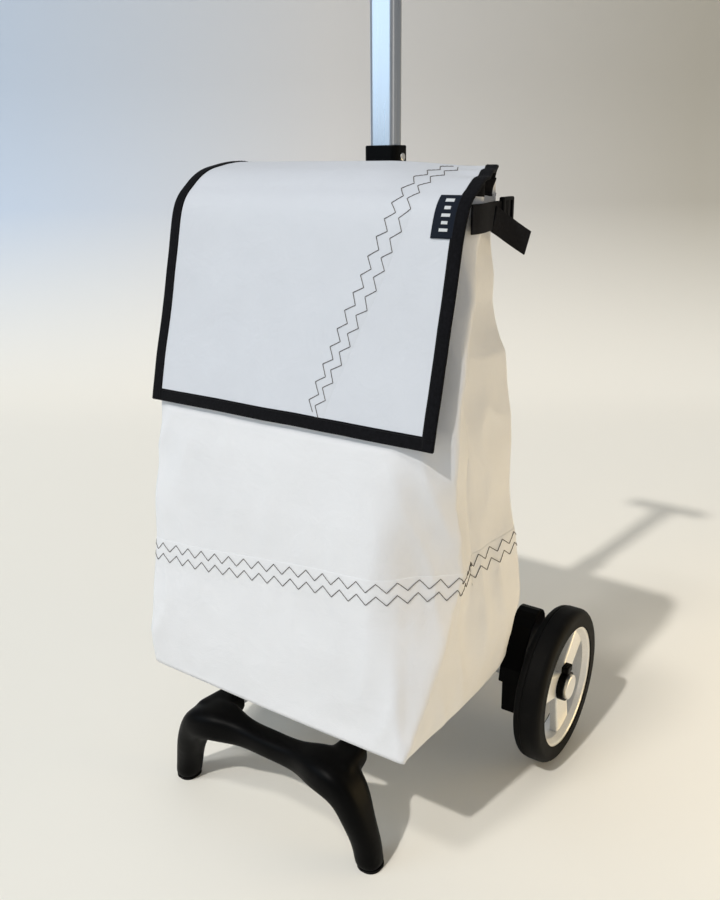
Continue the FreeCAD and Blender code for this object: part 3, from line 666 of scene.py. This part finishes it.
def build_mouth_hem(skin):
    """Black binding folded over the mouth of the bag."""
    u = np.arange(BAG_COLUMNS, dtype=float)
    top, normals = skin.at(np.zeros(len(u)), u)
    low, _ = skin.at(np.full(len(u), float(bag_rows(606.0))), u)
    down = unit(low - top)
    profile = [(15.5, -0.1), (15.3, 0.7), (14.2, 0.95), (8.0, 1.05), (1.5, 1.05), (-0.6, 0.6),
               (-1.1, -0.4), (-0.6, -1.6), (1.0, -2.0), (8.0, -2.0), (14.5, -1.8), (15.3, -1.2)]
    band = sweep("mouth_hem", top, down, normals, profile, "black_binding",
                 closed=True)
    line = top + down * (13.6 * MM) + normals * (1.05 * MM)
    stitches = straight_stitches("mouth_hem_stitches", np.vstack([line, line[:1]]),
                                 np.vstack([normals, normals[:1]]), 3.4, 0.26, "black_thread")
    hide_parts("bag_hem")
    for piece in (band, stitches):
        squash_with_fold(piece)


# ---------------------------------------------------------------- flap
# Outer face of the flap from the side, in millimetres: (y, z) from its root on the bag's back,
# over the top, to the front hem
FLAP_CURVE = [(28.2, 596), (25.4, 608), (21.6, 620), (18.0, 629), (11.6, 635.8), (2.0, 637.8),
              (-19, 634.5), (-41, 629), (-60, 617.5), (-79, 597), (-93, 547), (-107, 494),
              (-119, 451), (-128.5, 413)]
FLAP_HALF = 161.5
FLAP_ROWS = 120
FLAP_COLUMNS = 110
FLAP_T = 1.2


def flap_inner_y(z):
    """Y in metres of the flap's inner face at a height in metres, on the hanging front."""
    front = np.array(FLAP_CURVE[6:], float)[::-1] * MM
    return float(np.interp(z, front[:, 1], front[:, 0])) + 0.0034


def eased(value, low, high):
    share = np.clip((value - low) / (high - low), 0.0, 1.0)
    return share * share * (3 - 2 * share)


def flap_reach(y):
    """How far the flap reaches to the left and right at a depth in mm; the strap draws it in."""
    depths = [-60, -35, -12, 6, 18, 30]
    left = np.interp(y, depths, [FLAP_HALF, FLAP_HALF, 161, 155, 140, 132])
    right = np.interp(y, depths, [FLAP_HALF, 158, 152, 146, 137, 132])
    return left, right


def flap_column(x, y):
    """Grid column of the flap at a place in mm."""
    left, right = flap_reach(y)
    return (x + left) / (left + right) * (FLAP_COLUMNS - 1)


def flap_grid():
    curve = smooth_curve(FLAP_CURVE, FLAP_ROWS)
    left, right = flap_reach(curve[:, 0])
    share = np.linspace(0.0, 1.0, FLAP_COLUMNS)[None, :]
    x = -left[:, None] + (left + right)[:, None] * share
    y = np.repeat(curve[:, :1], FLAP_COLUMNS, 1)
    over_top = eased(y, -78.0, -35.0)
    pulled = eased(x, 30.0, 150.0) * over_top
    puckers = eased(x, 112.0, 145.0) * eased(y, -62.0, -30.0) * (1 - eased(y, 14.0, 22.0))
    ripple = np.sin(2 * math.pi * y / 25.0 + 0.6)
    z = curve[:, 1:2] - 6.0 * pulled * (1 - eased(y, 16.0, 26.0)) + 1.1 * puckers * ripple
    grid = np.stack([x, y, z], 2) * MM
    normals = Skin(grid, False).normals
    for r in range(FLAP_ROWS):
        free = min(1.0, max(0.0, (r - 22) / 30.0))
        for c in range(FLAP_COLUMNS):
            p = grid[r, c]
            edge = (abs(p[0]) / 0.1615) ** 6
            sag = 0.0011 * crumple(p, 5.3, 0.16) + 0.0006 * crumple(p, 8.8, 0.05)
            grid[r, c] = p + normals[r, c] * (sag * (0.25 + 0.75 * free) + 0.0006 * edge * free)
    return grid


def bend_with_flap(piece):
    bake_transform(piece)


def flap_frames(skin, rows, columns, inward):
    """Centres, inward and outward directions along one edge of the flap."""
    centres, normals = skin.at(rows, columns)
    inner, _ = skin.at(rows + inward[0], columns + inward[1])
    across = unit(inner - centres)
    across = unit(across - normals * np.sum(across * normals, 1)[:, None])
    return centres, across, normals


def build_flap():
    grid = flap_grid()
    skin = Skin(grid, False)
    cloth = new_mesh("flap_cloth", grid.reshape(-1, 3), grid_faces(FLAP_ROWS, FLAP_COLUMNS),
                     "flap_sailcloth")
    thicken(cloth, FLAP_T * MM)
    last_row, last_column = FLAP_ROWS - 1.0, FLAP_COLUMNS - 1.0
    profile = [(11.5, -0.1), (11.3, 0.42), (10.6, 0.62), (6.0, 0.70), (1.4, 0.66), (-0.2, 0.2),
               (-0.7, -0.6), (-0.2, -1.4), (1.4, -1.9), (6.0, -1.95), (10.6, -1.85),
               (11.3, -1.65), (11.5, -1.1)]
    raised = [(a, n + (0.25 if n > -0.6 else -0.25)) for a, n in profile]
    # One run is (name, rows, columns, inward step, cross-section)
    runs = []
    side_rows = np.linspace(12.0, last_row, 260)
    for side, column, step in (("left", 0.0, 1.0), ("right", last_column, -1.0)):
        runs.append((side, side_rows, np.full(260, column), (0.0, step), raised))
    front_columns = np.linspace(0.0, last_column, 240)
    runs.append(("front", np.full(240, last_row), front_columns, (-1.0, 0.0), profile))
    edging, thread = [], []
    for name, rows, columns, step, section in runs:
        centres, across, normals = flap_frames(skin, rows, columns, step)
        wobble = np.array([0.35 * crumple(p, 4.1, 0.03) for p in centres])
        centres = centres + across * wobble[:, None] * MM
        edging.append(sweep("binding_" + name, centres, across, normals, section, "black_binding"))
        line = centres + across * (9.8 * MM) + normals * ((0.66 if name == "front" else 0.9) * MM)
        thread.append(straight_stitches("binding_stitches_" + name, line, normals, 3.2, 0.24,
                                        "black_thread"))
    edging = join("flap_edging", edging)
    thread = join("flap_edging_stitches", thread)
    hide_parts("flap_panel")
    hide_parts("flap_binding")
    extra = [edging, thread] + build_flap_seam(skin) + build_label(skin)
    for piece in [cloth] + extra:
        bend_with_flap(piece)


# The slanting seam of the flap, in millimetres: (x, y, z) from the front hem up over the top
FLAP_SEAM = [(37, -125.5, 425), (46, -118, 454), (55, -111, 478), (65.5, -103, 508),
             (76, -96.5, 534), (85, -89, 562), (93, -84, 582), (98, -78, 599), (99.5, -64, 614),
             (101.5, -51.6, 623.6), (105, -34, 630.5), (109, -19, 634.4), (112, -8, 636.4)]


def flap_row(skin, z):
    """Grid row of the hanging front or the top, at a height in mm."""
    heights = skin.grid[:, FLAP_COLUMNS // 2, 2] / MM
    top = int(np.argmax(heights))
    return top + float(np.interp(-z, -heights[top:], np.arange(len(heights) - top)))


def build_flap_seam(skin):
    """Two zigzag rows that draw apart from the hem upwards, on the lap they hold down."""
    points = smooth_curve([(flap_column(x, y), flap_row(skin, z)) for x, y, z in FLAP_SEAM], 300)
    columns, rows = points[:, 0], points[:, 1]
    threads = []
    widening = np.interp(np.arange(len(rows)), [0, 110], [0.6, 1.0])
    for index, (shift, pitch, start) in enumerate(((6.5, 16.3, 3.0), (-6.5, 17.0, 0.5))):
        line, normals, stitch = zigzag_row(skin, rows, columns, 4.0, pitch, shift * widening,
                                           start)
        line = line + normals * ((0.30 + 0.22 * stitch) * MM)[:, None]
        threads.append(tube("flap_thread_%d" % index, line, normals, 0.34, "thread"))
    lap = [(16.0, -0.3), (10.0, 0.1), (5.0, 0.2), (0.0, 0.2), (-6.0, 0.2), (-11.6, 0.16),
           (-12.6, -0.1), (-12.9, -0.3)]
    band = band_on_skin("flap_lap", skin, rows, columns, lap, "flap_sailcloth")
    return [join("flap_threads", threads), band]


def build_label(skin):
    """Woven tab with a plain column of bars, sewn on beside the right-hand binding."""
    low, high = 578.0, 611.0
    left, right = 132.0, 152.0
    rows = np.linspace(flap_row(skin, low), flap_row(skin, high), 24)
    middle = np.full(len(rows), flap_column((left + right) / 2, -80.0))
    centres, normals = skin.at(rows, middle, 0.75)
    across = np.tile([1.0, 0.0, 0.0], (len(rows), 1))
    tab = sweep("label_tab", centres, across, normals, tape_profile(right - left, 0.8),
                "tab_weave")
    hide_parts("woven_tab")
    bars = []
    for index in range(5):
        z = low + 5.2 + index * 5.6
        rows = np.linspace(flap_row(skin, z), flap_row(skin, z + 2.4), 5)
        centres, normals = skin.at(rows, np.full(5, flap_column(143.0, -80.0)), 1.2)
        bars.append(sweep("label_bar_%d" % index, centres, np.tile([1.0, 0.0, 0.0], (5, 1)),
                          normals, tape_profile(8.0 - 2.2 * (index % 2), 0.3), "pale_weave"))
    return [tab, join("label_bars", bars)]


# ---------------------------------------------------------------- webbing
def band_along(name, points, width, thickness, material, width_axis=(0.0, 0.0, 1.0)):
    """Flat webbing along a path; width_axis says which way its width lies at each point."""
    points = np.asarray(points, float)
    wide = np.broadcast_to(np.asarray(width_axis, float), points.shape)
    ahead = unit(np.gradient(points, axis=0))
    across = unit(wide - ahead * np.sum(wide * ahead, 1)[:, None])
    up = unit(np.cross(ahead, across))
    return sweep(name, points, across, up, tape_profile(width, thickness), material)


def build_side_straps():
    """A strap round each side of the mouth, and its loose tail behind the buckle."""
    for name, side in SIDES.items():
        path = smooth_curve([(158.5, -66, 592), (159.4, -54, 592), (157.6, -40, 592),
                             (153.8, -24, 592), (150.2, -6, 592), (151.0, 5, 592),
                             (152.6, 10, 592), (151.5, 16, 592), (151.0, 22, 592)], 60)
        path[:, 0] *= side
        strap = band_along("side_webbing_" + name, path * MM, 24.0, 1.5, "webbing")
        tail_path = smooth_curve([(151.8, -12, 589.5), (153.0, -4, 586), (155.0, 5, 581.5),
                                  (158.0, 15, 576), (161.5, 25, 570.5), (164.5, 32, 566.5)], 40)
        tail_path[:, 0] *= side
        lean = [(0.0, 0.42, 0.91)] * 40
        tail = band_along("side_tail_" + name, tail_path * MM, 23.0, 1.5, "webbing",
                          lean)
        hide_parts("side_strap_" + name)
        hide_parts("strap_tail_" + name)
        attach(strap, "frame")
        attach(tail, "frame")


def build_mast_straps(skin):
    """Webbing loops round the mast, their ends sewn flat on the back of the bag."""
    for place, z in (("upper", 590.0), ("lower", 440.0)):
        row = np.array([float(bag_rows(z))])
        ends = []
        for column in (bag_column(skin, 40, 36, z), bag_column(skin, 24, 36, z)):
            point, _ = skin.at(row, np.array([float(column)]), 1.0)
            ends.append((point[0, 0] / MM, point[0, 1] / MM))
        outline = ends + [(18.9, 42.5), (18.0, 48.0), (18.0, 60.0), (15.5, 65.2), (9, 65.8)]
        half = [(x, y, z) for x, y in outline]
        mirrored = [(-x, y, z) for x, y, z in reversed(half)]
        path = smooth_curve(half + [(0, 65.9, z)] + mirrored, 110)
        loop = band_along("mast_loop_" + place, path * MM, 25.0, 1.5, "webbing")
        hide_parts("mast_strap_" + place)
        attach(loop, "frame")


# ---------------------------------------------------------------- front foot
def build_foot():
    """The moulded front foot with its sockets blended into one smooth casting."""
    source = NODES["front_foot"]
    mesh = source.data.copy()
    mesh.transform(source.matrix_world)
    piece = bpy.data.objects.new("foot_casting", mesh)
    bpy.context.scene.collection.objects.link(piece)
    remesh = piece.modifiers.new("blend", "REMESH")
    remesh.mode = "VOXEL"
    remesh.voxel_size = 1.7 * MM
    soften = piece.modifiers.new("soften", "SMOOTH")
    soften.factor = 0.5
    soften.iterations = 26
    apply_modifiers(piece)
    piece.data.polygons.foreach_set("use_smooth", [True] * len(piece.data.polygons))
    piece.data.materials.clear()
    piece.data.materials.append(MATERIALS["black_moulding"])
    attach(piece, "platform")
    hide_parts("front_foot")


# ---------------------------------------------------------------- stage
def floor_and_painted_light_wall():
    """Pale floor that turns into a wall whose colour paints in light and shade: cool blue painted
    light on the left, darker warm-grey painted shade on the right.
    """
    s = Shader("studio_paint_with_painted_light", (0.80, 0.775, 0.73), 0.8, Specular_IOR_Level=0.1)
    place = s.node("ShaderNodeSeparateXYZ")
    s.link(s.coords, place.inputs["Vector"])
    left_to_right = s.node("ShaderNodeMapRange")
    left_to_right.inputs["From Min"].default_value = -1.3
    left_to_right.inputs["From Max"].default_value = 1.1
    s.link(place.outputs["X"], left_to_right.inputs["Value"])
    # Painted light on the wall: the ramp runs from cool blue painted light on the left to darker
    # warm-grey painted shade on the right.
    wall_painted_light = s.ramp(left_to_right.outputs["Result"],
                  [(0.0, (0.57, 0.67, 0.82)), (0.5, (0.67, 0.66, 0.66)),
                   (1.0, (0.48, 0.45, 0.39))])
    height = s.node("ShaderNodeMapRange")
    height.inputs["From Min"].default_value = 0.02
    height.inputs["From Max"].default_value = 0.5
    s.link(place.outputs["Z"], height.inputs["Value"])
    paint = s.node("ShaderNodeMix")
    paint.data_type = "RGBA"
    color_a, color_b, result = paint.inputs[6], paint.inputs[7], paint.outputs[2]
    s.link(height.outputs["Result"], paint.inputs["Factor"])
    color_a.default_value = (0.86, 0.83, 0.76, 1.0)
    s.link(wall_painted_light, color_b)
    s.color(result)
    return s.done()


def build_stage():
    """A floor that curves up into a wall behind the object."""
    half, depth, rise, radius = 3.4, 2.2, 3.2, 0.9
    profile = [(-3.5, 0.0), (depth - radius, 0.0)]
    for k in range(1, 13):
        turn = math.radians(90.0 * k / 12)
        profile.append((depth - radius + radius * math.sin(turn), radius * (1 - math.cos(turn))))
    profile.append((depth, rise))
    verts = [(x, y, z) for y, z in profile for x in (-half, half)]
    faces = [(2 * k, 2 * k + 1, 2 * k + 3, 2 * k + 2) for k in range(len(profile) - 1)]
    mesh = bpy.data.meshes.new("studio_floor")
    mesh.from_pydata(verts, [], faces)
    mesh.polygons.foreach_set("use_smooth", [True] * len(mesh.polygons))
    floor = bpy.data.objects.new("studio_floor", mesh)
    bpy.context.scene.collection.objects.link(floor)
    mesh.materials.append(floor_and_painted_light_wall())
    floor.rotation_euler = (0, 0, math.radians(34.0))


def area_light(name, place, target, size, power, color):
    data = bpy.data.lights.new(name, "AREA")
    data.size = size
    data.energy = power
    data.color = color
    lamp = bpy.data.objects.new(name, data)
    lamp.location = place
    lamp.rotation_euler = (Vector(target) - Vector(place)).to_track_quat("-Z", "Y").to_euler()
    bpy.context.scene.collection.objects.link(lamp)


def sun_light(name, direction, angle, power, color):
    data = bpy.data.lights.new(name, "SUN")
    data.angle = math.radians(angle)
    data.energy = power
    data.color = color
    lamp = bpy.data.objects.new(name, data)
    lamp.rotation_euler = Vector(direction).to_track_quat("-Z", "Y").to_euler()
    bpy.context.scene.collection.objects.link(lamp)


def build_lights():
    world = bpy.data.worlds.new("studio")
    world.use_nodes = True
    background = world.node_tree.nodes["Background"]
    background.inputs["Color"].default_value = (0.90, 0.95, 1.0, 1.0)
    background.inputs["Strength"].default_value = 0.27
    bpy.context.scene.world = world
    sun_light("key", (0.10, 0.84, -1.0), 1.8, 1.55, (1.0, 0.97, 0.92))
    sun_light("second_key", (0.20, 0.50, -1.0), 7.0, 0.6, (1.0, 0.97, 0.91))
    area_light("cool_left", (-1.5, -2.2, 1.5), (0.0, 0.0, 0.6), 1.7, 18.0, (0.60, 0.80, 1.0))
    area_light("warm_right", (0.98, 0.42, 0.05), (0.16, 0.0, 0.10), 0.6, 6.6, (1.0, 0.74, 0.34))
    area_light("pale_front_right", (2.0, -1.5, 0.9), (0.1, 0.0, 0.4), 1.0, 2.2, (1.0, 0.93, 0.82))


def build_camera():
    place = Vector((0.4918, -0.7143, 0.6383))
    yaw, pitch, roll = (math.radians(a) for a in (34.42, -18.35, -0.6))
    ahead = Vector((-math.sin(yaw) * math.cos(pitch), math.cos(yaw) * math.cos(pitch),
                    math.sin(pitch)))
    level = Vector((math.cos(yaw), math.sin(yaw), 0.0))
    above = level.cross(ahead)
    right = math.cos(roll) * level + math.sin(roll) * above
    up = -math.sin(roll) * level + math.cos(roll) * above
    turn = Matrix((right, up, -ahead)).transposed().to_4x4()
    data = bpy.data.cameras.new("camera")
    data.sensor_width = 36.0
    data.lens = 34.94
    camera = bpy.data.objects.new("camera", data)
    camera.matrix_world = Matrix.Translation(place) @ turn
    bpy.context.scene.collection.objects.link(camera)
    bpy.context.scene.camera = camera


# ---------------------------------------------------------------- assembly
bpy.context.scene.view_settings.view_transform = "Standard"
dress_cad_nodes()
bag_wall = build_bag()
build_seam(bag_wall)
build_mouth_hem(bag_wall)
build_flap()
build_side_straps()
build_foot()
build_mast_straps(bag_wall)
build_stage()
build_lights()
build_camera()
